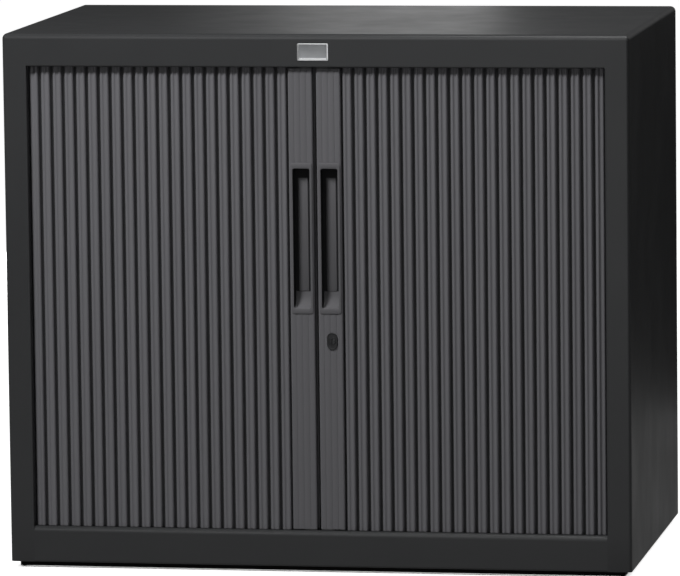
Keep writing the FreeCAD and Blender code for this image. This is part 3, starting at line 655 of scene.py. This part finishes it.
def make_handle(hand):
    """A rounded rim round a finger cup, whose lower end sweeps up to the front."""
    mesh_data = bmesh.new()
    sign = HANDS[hand]
    middle = sign * (LEAD_INNER + LEAD_OUTER) / 2
    recess_middle = (HANDLE_LOW.z + HANDLE_HIGH.z) / 2
    rim_half = (HANDLE_HIGH.x - HANDLE_LOW.x) / 2
    rim_tall = (HANDLE_HIGH.z - HANDLE_LOW.z) / 2
    front = HANDLE_LOW.y
    half = RECESS_WIDTH / 2
    tall = RECESS_HEIGHT / 2
    floor = front + RECESS_DEPTH

    def outline(half_width, below, above, radius, depth):
        ends = ((middle - half_width, recess_middle - below), (middle + half_width, recess_middle + above))
        return along("y", rounded_rectangle(*ends, radius), depth)

    def rim(inset, radius, depth):
        return outline(rim_half - inset, rim_tall - inset, rim_tall - inset, radius, depth)

    def cup(outset, radius, depth):
        return outline(half + outset, tall + outset, tall + outset, radius, depth)

    loops = [
        rim(0, 3.2 * MM, LEAD_FRONT),
        rim(0, 3.2 * MM, front + 0.4 * MM),
        rim(0.12 * MM, 3.1 * MM, front + 0.12 * MM),
        rim(0.4 * MM, 2.9 * MM, front),
        cup(0.5 * MM, 3.0 * MM, front),
        cup(0.15 * MM, 2.7 * MM, front + 0.15 * MM),
        cup(0, 2.5 * MM, front + 0.5 * MM),
    ]
    mouth = len(loops) - 2
    straight = front + RECESS_DEPTH - RAMP_DEEP
    loops.append(cup(0, 2.5 * MM, straight))
    steps = 9
    for step in range(1, steps + 1):
        angle = math.radians(90 * step / steps)
        rise = RAMP_TALL * (1 - math.cos(angle))
        depth = min(straight + RAMP_DEEP * math.sin(angle), floor - 0.02 * MM)
        loops.append(outline(half, tall - rise, tall, 2.5 * MM, depth))
    ramp_end = len(loops) - 1
    loops.append(outline(half - 0.6 * MM, tall - RAMP_TALL - 0.4 * MM, tall - 0.6 * MM, 2.0 * MM, floor))
    # The finger pad stands a little over the floor, with a channel beside it and above it. The channel and
    # the cup's walls are painted near black, a painted shade for the shadow at the cup's top and left side
    pad_low = (middle - half + 4.6 * MM, recess_middle - tall + RAMP_TALL + 0.5 * MM)
    pad_high = (middle + half - 4 * MM, recess_middle + tall - 12.5 * MM)
    pad_start = len(loops)
    for inset, raised in ((0, 0), (0.3 * MM, 0.5 * MM), (0.7 * MM, 0.7 * MM)):
        ends = ((pad_low[0] + inset, pad_low[1] + inset), (pad_high[0] - inset, pad_high[1] - inset))
        loops.append(along("y", rounded_rectangle(*ends, 1.4 * MM), floor - raised))
    rings = [loop_of(mesh_data, points) for points in loops]
    # Materials: 0 is the rim's, 1 the walls' and the channel's, painted near black as shade, 2 the ramp's and
    # the finger pad's
    for index, (first, second) in enumerate(zip(rings, rings[1:])):
        finish = [1 if index > mouth else 0] * len(first)
        if mouth < index <= ramp_end:
            finish[RAMP] = [2] * (RAMP.stop - RAMP.start)
        if index >= pad_start:
            finish = [2] * len(first)
        bridge(mesh_data, first, second, finish)
    cap(mesh_data, rings[-1], 2)
    wall = 1 * MM
    loft(mesh_data, [cup(wall, 2.5 * MM, LEAD_FRONT), cup(wall, 2.5 * MM, floor + wall)], close_start=False)
    finishes = [HANDLE, CUP_SHADE, FINGER_PAD]
    make_piece(f"handle_cup_{hand}", mesh_data, finishes, f"{hand}_door", "handle_plastic", f"handle_{hand}")


# Lock

def make_lock():
    """The oval shield with a rolled edge and the barrel behind it, and the plug with its keyway."""
    mesh_data = bmesh.new()
    box_low, box_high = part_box("lock_housing")
    middle = ((box_low.x + box_high.x) / 2, (box_low.z + box_high.z) / 2)
    half = (box_high.x - box_low.x) / 2
    tall = (box_high.z - box_low.z) / 2
    front = box_low.y

    def centred(half_width, half_height, radius, depth):
        """An outline round the lock's middle. They all have as many points, in the same order."""
        ends = (
            (middle[0] - half_width, middle[1] - half_height),
            (middle[0] + half_width, middle[1] + half_height),
        )
        return along("y", rounded_rectangle(*ends, radius, 7), depth)

    def oval(inset, depth):
        return centred(half - inset, tall - inset, half - inset - 0.01 * MM, depth)

    def circle(radius, depth):
        return centred(radius, radius, radius * 0.999, depth)

    def slot(depth):
        return centred(0.7 * MM, 3 * MM, 0.3 * MM, depth)

    loops = [
        oval(0, LEAD_FRONT), oval(0, front + 0.6 * MM), oval(0.2 * MM, front + 0.2 * MM),
        oval(0.6 * MM, front), oval(1.3 * MM, front + 0.1 * MM), oval(1.6 * MM, front + 0.35 * MM),
        circle(5.0 * MM, front + 0.35 * MM), circle(4.8 * MM, front + 0.1 * MM),
        circle(4.55 * MM, front + 0.1 * MM), circle(4.5 * MM, front + 0.4 * MM), circle(4.5 * MM, box_high.y),
        circle(6.0 * MM, box_high.y), circle(6.0 * MM, LEAD_FRONT),
    ]
    loft(mesh_data, loops, close_start=False, close_end=False)
    make_piece("lock_shield", mesh_data, [LOCK_BLACK], "right_door", "lock_plastic", "lock_housing")

    mesh_data = bmesh.new()
    plug_low, plug_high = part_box("lock_plug")
    face = plug_low.y
    loops = [
        circle(4.4 * MM, plug_high.y), circle(4.4 * MM, face + 0.5 * MM), circle(4.25 * MM, face + 0.12 * MM),
        circle(3.9 * MM, face), slot(face), slot(face + 5 * MM),
    ]
    loft(mesh_data, loops)
    make_piece("lock_plug_face", mesh_data, [LOCK_STEEL], "lock_core", "lock_metal", "lock_plug")


# Small parts

def make_screws(name, node, material, slot):
    """Domed heads with a six-sided socket, where the frame has its plain heads."""
    mesh_data = bmesh.new()
    count = 24
    for part_low, part_high in loose_parts(node):
        size = part_high - part_low
        middle = (part_low + part_high) / 2
        if size.y > size.z + 1e-5:
            axis, centre, radius = "y", (middle.x, middle.z), max(size.x, size.z) / 2
            tip, head, way = part_low.y, part_high.y, 1
        else:
            axis, centre, radius = "z", (middle.x, middle.y), max(size.x, size.y) / 2
            tip, head, way = part_low.z, part_high.z, 1
            if middle.z >= (OPENING_LOW + OPENING_HIGH) / 2:
                tip, head, way = head, tip, -1
        seat = head - way * 1.4 * MM

        def hexagon(half_width, spot):
            turns = [math.tau * index / count for index in range(count)]
            reaches = [half_width / math.cos(turn % (math.pi / 3) - math.pi / 6) for turn in turns]
            return along(axis, spun(centre, reaches), spot)

        def circle(reach, spot):
            return along(axis, spun(centre, [reach] * count), spot)

        loops = [
            circle(1.5 * MM, tip), circle(1.6 * MM, tip + way * 0.4 * MM), circle(1.6 * MM, seat),
            circle(radius, seat), circle(radius, seat + way * 0.35 * MM),
            circle(radius * 0.93, seat + way * 0.85 * MM), circle(radius * 0.76, seat + way * 1.2 * MM),
            circle(radius * 0.55, head), hexagon(1.3 * MM, head), hexagon(1.2 * MM, seat + way * 0.5 * MM),
        ]
        loft(mesh_data, loops)
    make_piece(name, mesh_data, [material], "carcass", slot, node)


def loose_parts(node):
    """The lowest and highest corner of each separate solid in a node."""
    mesh_data = bmesh.new()
    mesh_data.from_mesh(nodes[node].data)
    bmesh.ops.remove_doubles(mesh_data, verts=mesh_data.verts, dist=1e-6)
    waiting = set(mesh_data.verts)
    found = []
    while waiting:
        group = {waiting.pop()}
        edge_of_group = list(group)
        while edge_of_group:
            vert = edge_of_group.pop()
            for edge in vert.link_edges:
                other = edge.other_vert(vert)
                if other in waiting:
                    waiting.discard(other)
                    group.add(other)
                    edge_of_group.append(other)
        low_corner = Vector(min(vert.co[i] for vert in group) for i in range(3))
        high_corner = Vector(max(vert.co[i] for vert in group) for i in range(3))
        found.append((low_corner, high_corner))
    mesh_data.free()
    return sorted(found, key=lambda pair: tuple(pair[0]))


def make_foot(name):
    """A ribbed pad and a threaded stud."""
    body = f"foot_{name}"
    pad_low, pad_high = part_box(f"foot_pad_{name}")
    centre = ((pad_low.x + pad_high.x) / 2, (pad_low.y + pad_high.y) / 2)
    radius = (pad_high.x - pad_low.x) / 2
    mesh_data = bmesh.new()
    ribs = 48

    # Radius, height and depth of the grooves between the ribs
    profile = (
        (radius - 1.5 * MM, 0, 0), (radius - 0.4 * MM, 0.5 * MM, 0), (radius, 1.4 * MM, 0.5 * MM),
        (radius, 3.8 * MM, 0.5 * MM), (radius - 0.5 * MM, 4.7 * MM, 0), (radius - 1.6 * MM, 5 * MM, 0),
        (9.6 * MM, 5.1 * MM, 0), (9 * MM, 5.7 * MM, 0), (8.8 * MM, pad_high.z - 0.4 * MM, 0),
        (8.3 * MM, pad_high.z, 0),
    )
    loops = [along("z", spun(centre, [size, size - depth] * ribs), spot) for size, spot, depth in profile]
    loft(mesh_data, loops)
    make_piece(f"pad_{name}", mesh_data, [FOOT], body, "foot_plastic", f"foot_pad_{name}")

    mesh_data = bmesh.new()
    pitch = 1.25 * MM
    core = 3.35 * MM
    thread = 0.6 * MM
    sunk = 1 * MM
    length = high(f"foot_stud_{name}").z - pad_high.z
    rows = int(length / pitch * 5)
    sides = 20
    loops = []
    for row in range(rows + 1):
        spot = pad_high.z - sunk + (length + sunk) * row / rows
        end = 0.93 if row in (0, rows) else 1
        waves = [abs(((spot / pitch - side / sides) % 1) * 2 - 1) for side in range(sides)]
        loops.append(along("z", spun(centre, [(core + thread * wave) * end for wave in waves]), spot))
    loft(mesh_data, loops)
    make_piece(f"stud_{name}", mesh_data, [ZINC], body, "zinc_steel", f"foot_stud_{name}")


def paint_nodes():
    """Gives its material and worn edges to every node that stays as the frame has it."""
    finishes = (
        (PAINT, ("back_panel",)),
        (INNER_PAINT, ("base_panel", "ceiling_panel", "liner_left", "liner_right")),
        (INNER_PAINT, ("shelf_lower", "shelf_upper")),
        (ZINC, ("shelf_clips", "foot_brackets", "foot_nuts", "keeper_", "lock_nut", "lock_cam", "cam_screw")),
        (GLIDE, ("access_caps", "glides_")),
        (RUBBER, ("stop_buffers",)),
        (TRACK, ("track_",)),
        (PLINTH_SHADE, ("plinth_",)),
    )
    for name, node in nodes.items():
        material = next((finish for finish, starts in finishes if name.startswith(starts)), None)
        if material is None:
            continue
        node.data.materials.clear()
        node.data.materials.append(material)
        joined = node.modifiers.new("join", "WELD")
        joined.merge_threshold = 1e-6
        rounding = node.modifiers.new("edge", "BEVEL")
        rounding.width = 0.25 * MM
        rounding.segments = 2
        rounding.limit_method = "ANGLE"
        rounding.angle_limit = math.radians(40)


make_lid()
for hand in HANDS:
    make_side_shell(hand)
make_bottom_rail()
make_badge()
for hand in HANDS:
    make_curtain(hand)
    make_lead_rail(hand)
    make_handle(hand)
make_lock()
make_screws("back_panel_screws", "back_screws", BLACK_STEEL, "black_screw")
make_screws("liner_fixings", "liner_screws", ZINC, "zinc_steel")
for name in ("front_left", "front_right", "rear_left", "rear_right"):
    make_foot(name)
paint_nodes()


# Studio

def plane(name, corners, material):
    mesh = bpy.data.meshes.new(name)
    mesh.from_pydata(corners, [], [(0, 1, 2, 3)])
    mesh.materials.append(material)
    made = bpy.data.objects.new(name, mesh)
    bpy.context.scene.collection.objects.link(made)
    return made


def light(name, place_at, aim, size, power, shines=True):
    """A soft rectangular lamp. One that doesn't shine leaves no reflection."""
    data = bpy.data.lights.new(name, "AREA")
    data.shape = "RECTANGLE"
    data.size, data.size_y = size
    data.energy = power
    lamp = bpy.data.objects.new(name, data)
    lamp.visible_glossy = shines
    lamp.location = place_at
    lamp.rotation_euler = (Vector(aim) - Vector(place_at)).to_track_quat("-Z", "Y").to_euler()
    bpy.context.scene.collection.objects.link(lamp)


def seen_rays(tree, straight, glossy):
    """One value for what the camera or glass sees, another for what shines in a surface, none for light."""
    path = add(tree, "ShaderNodeLightPath")
    either = add(tree, "ShaderNodeMath", operation="MAXIMUM")
    tree.links.new(path.outputs["Is Camera Ray"], either.inputs[0])
    tree.links.new(path.outputs["Is Transmission Ray"], either.inputs[1])
    first = add(tree, "ShaderNodeMath", operation="MULTIPLY")
    first.inputs[1].default_value = straight
    tree.links.new(either.outputs[0], first.inputs[0])
    total = add(tree, "ShaderNodeMath", operation="MULTIPLY_ADD")
    total.inputs[1].default_value = glossy
    tree.links.new(path.outputs["Is Glossy Ray"], total.inputs[0])
    tree.links.new(first.outputs[0], total.inputs[2])
    return total.outputs[0]


# How bright the world is as a light, where the camera sees it white
AMBIENT = 0.03


def make_world():
    world = bpy.data.worlds.new("studio")
    bpy.context.scene.world = world
    world.use_nodes = True
    tree = world.node_tree
    tree.nodes.clear()
    strength = add(tree, "ShaderNodeMath", operation="ADD")
    tree.links.new(seen_rays(tree, 1 - AMBIENT, 0.25), strength.inputs[0])
    strength.inputs[1].default_value = AMBIENT
    background = add(tree, "ShaderNodeBackground")
    background.inputs["Color"].default_value = (1, 1, 1, 1)
    tree.links.new(strength.outputs[0], background.inputs["Strength"])
    output = add(tree, "ShaderNodeOutputWorld")
    tree.links.new(background.outputs[0], output.inputs[0])


def make_floor():
    """A pale floor that the camera sees as white, apart from the object's shadow."""
    material, tree, shader = new_material("floor_pale")
    shader.inputs["Base Color"].default_value = (0.28, 0.28, 0.28, 1)
    shader.inputs["Roughness"].default_value = 0.9
    shader.inputs["Specular IOR Level"].default_value = 0
    shader.inputs["Emission Color"].default_value = (1, 1, 1, 1)
    contact = add(tree, "ShaderNodeAmbientOcclusion", samples=1, Distance=0.007)
    shaded = add(tree, "ShaderNodeMath", operation="MULTIPLY")
    tree.links.new(seen_rays(tree, 1.0, 0.12), shaded.inputs[0])
    tree.links.new(contact.outputs["AO"], shaded.inputs[1])
    tree.links.new(shaded.outputs[0], shader.inputs["Emission Strength"])
    reach = 30
    plane("floor", [(-reach, -reach, 0), (reach, -reach, 0), (reach, reach, 0), (-reach, reach, 0)], material)


def card(name, corners, material):
    """A card that only shows as a reflection."""
    made = plane(name, corners, material)
    for way in ("camera", "diffuse", "transmission", "volume_scatter", "shadow"):
        setattr(made, f"visible_{way}", False)


def standing(deep, x, z):
    """The corners of a rectangle at one depth."""
    return [(x[0], deep, z[0]), (x[1], deep, z[0]), (x[1], deep, z[1]), (x[0], deep, z[1])]


def lying(tall, x, y):
    """The corners of a rectangle at one height."""
    return [(x[0], y[0], tall), (x[1], y[0], tall), (x[1], y[1], tall), (x[0], y[1], tall)]


def glowing(name, strength):
    material, tree, shader = new_material(name)
    shader.inputs["Base Color"].default_value = (0, 0, 0, 1)
    shader.inputs["Specular IOR Level"].default_value = 0
    shader.inputs["Emission Color"].default_value = (1, 1, 1, 1)
    shader.inputs["Emission Strength"].default_value = strength
    return material, tree, shader


# The strip that the top reflects: place along X and brightness
CARD_LEVELS = (
    (-1.4, 0.04), (-0.49, 0.05), (-0.34, 0.27), (-0.26, 0.72), (-0.17, 0.82), (0.0, 0.88), (0.02, 0.1),
    (1.4, 0.15),
)
CARD_LOW = CARD_LEVELS[0][0]
CARD_HIGH = CARD_LEVELS[-1][0]


def make_cards():
    """A dark card behind, a lit strip that the top reflects, and soft ones in front and over the right."""
    dark, tree, shader = new_material("card_dark")
    shader.inputs["Base Color"].default_value = (0.02, 0.02, 0.02, 1)
    shader.inputs["Specular IOR Level"].default_value = 0
    card("card_dark_plane", standing(1.25, (-3, 3), (0, 3)), dark)
    lit, tree, shader = glowing("card_lit", 1)
    coordinates = add(tree, "ShaderNodeTexCoord")
    split = add(tree, "ShaderNodeSeparateXYZ")
    tree.links.new(coordinates.outputs["Object"], split.inputs["Vector"])
    ramp = add(tree, "ShaderNodeMapRange")
    ramp.inputs["From Min"].default_value = CARD_LOW
    ramp.inputs["From Max"].default_value = CARD_HIGH
    tree.links.new(split.outputs["X"], ramp.inputs["Value"])
    levels = add(tree, "ShaderNodeValToRGB")
    stops = levels.color_ramp.elements
    for x, bright in CARD_LEVELS[1:-1]:
        stops.new((x - CARD_LOW) / (CARD_HIGH - CARD_LOW))
    for stop, (x, bright) in zip(stops, CARD_LEVELS):
        stop.color = (bright, bright, bright, 1)
    tree.links.new(ramp.outputs["Result"], levels.inputs["Fac"])
    tree.links.new(levels.outputs["Color"], shader.inputs["Emission Strength"])
    card("card_lit_plane", standing(1.24, (CARD_LOW, CARD_HIGH), (0.7, 1.3)), lit)
    card("card_front_plane", standing(-2.2, (-1.1, 0.5), (1.2, 2.7)), glowing("card_front", 3)[0])
    card("card_over_plane", lying(2.1, (0.0, 1.2), (-0.9, -0.2)), glowing("card_over", 7.5)[0])


def make_camera():
    """The photograph's viewpoint, with no shift."""
    data = bpy.data.cameras.new("camera")
    data.sensor_width = 36
    focal_pixels = 6209.6
    image_width = 680
    data.lens = focal_pixels * data.sensor_width / image_width
    data.clip_start, data.clip_end = 0.1, 100
    camera = bpy.data.objects.new("camera", data)
    azimuth, elevation, roll = (math.radians(value) for value in (10.255, 7.051, -0.674))
    back = Vector((
        math.sin(azimuth) * math.cos(elevation), -math.cos(azimuth) * math.cos(elevation), math.sin(elevation)
    ))
    right = (-back).cross(Vector((0, 0, 1))).normalized()
    up = right.cross(-back)
    rolled_right = right * math.cos(roll) + up * math.sin(roll)
    rolled_up = up * math.cos(roll) - right * math.sin(roll)
    turn = Matrix((rolled_right, rolled_up, back)).transposed().to_4x4()
    stand = (1.4137, -7.8742, 1.325)
    camera.matrix_world = Matrix.Translation(stand) @ turn
    bpy.context.scene.collection.objects.link(camera)
    bpy.context.scene.camera = camera


make_camera()
make_world()
make_floor()
make_cards()
# Name, place, aim, width and height, and watts
light("key", (-0.8, -1.3, 2.05), (-0.1, -0.2, 0.5), (0.4, 0.34), 62, shines=False)
light("over_right", (0.75, -0.55, 2.1), (0.3, -0.2, 0.68), (0.9, 0.7), 9, shines=False)
light("front_right", (0.3, -3.1, 0.3), (0.2, 0, 0.3), (0.9, 0.5), 4)
light("fill", (2.2, 2.6, 2.2), (0, 0, 0.3), (1.5, 1.5), 14)
light("behind", (-1.5, 3.0, 0.45), (0, 0, 0.3), (1.4, 0.8), 85, shines=False)

bpy.context.scene.view_settings.view_transform = "Standard"
